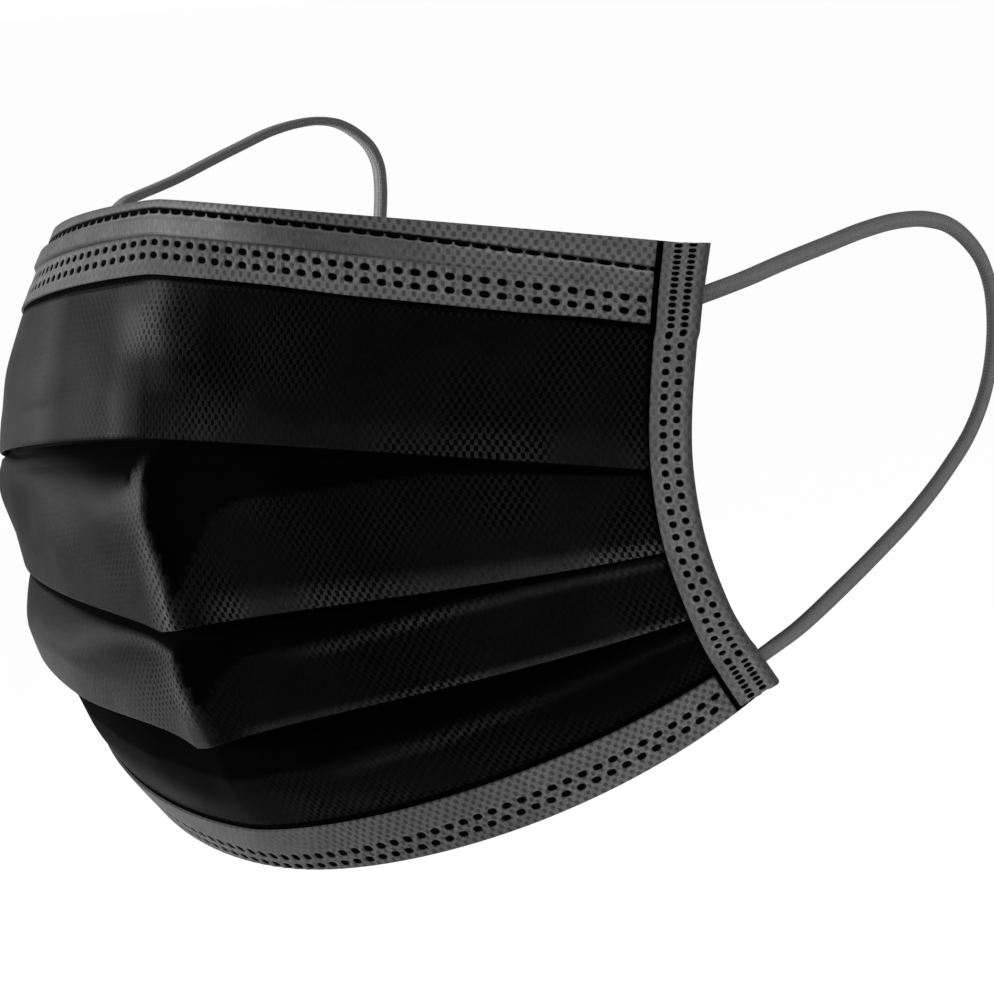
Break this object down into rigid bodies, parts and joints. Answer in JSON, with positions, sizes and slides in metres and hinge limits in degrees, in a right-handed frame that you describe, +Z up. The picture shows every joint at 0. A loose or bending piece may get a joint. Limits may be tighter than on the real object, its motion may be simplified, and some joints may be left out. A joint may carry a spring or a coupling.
{
  "type": "disposable face mask",
  "caption": "Black pleated three-ply disposable face mask, opened as worn, with a wired top hem, welded side bindings and elastic ear loops.",
  "frame": {"origin": "the nose seat: the middle of the top hem's inner face, where the mask sits on the bridge of the nose", "axes": "+Z up as worn, -Y out of the front, +X towards the wearer's left; the cloth is symmetrical about X = 0"},
  "size_m": [0.149, 0.1363, 0.1164],
  "materials": {
    "black_nonwoven": "matt black spunbond nonwoven, finely embossed",
    "grey_nonwoven": "dark grey spunbond nonwoven with rows of pressed weld dots",
    "wire": "plastic-coated flat wire, hidden in the top hem",
    "elastic": "dark grey knitted flat elastic"
  },
  "bodies": {
    "root": {"mask_body": "black_nonwoven", "top_hem": "grey_nonwoven", "bottom_hem": "grey_nonwoven", "nose_wire": "wire", "side_binding_left": "grey_nonwoven", "side_binding_right": "grey_nonwoven", "ear_loop_left": "elastic", "ear_loop_right": "elastic"}
  },
  "joints": []
}
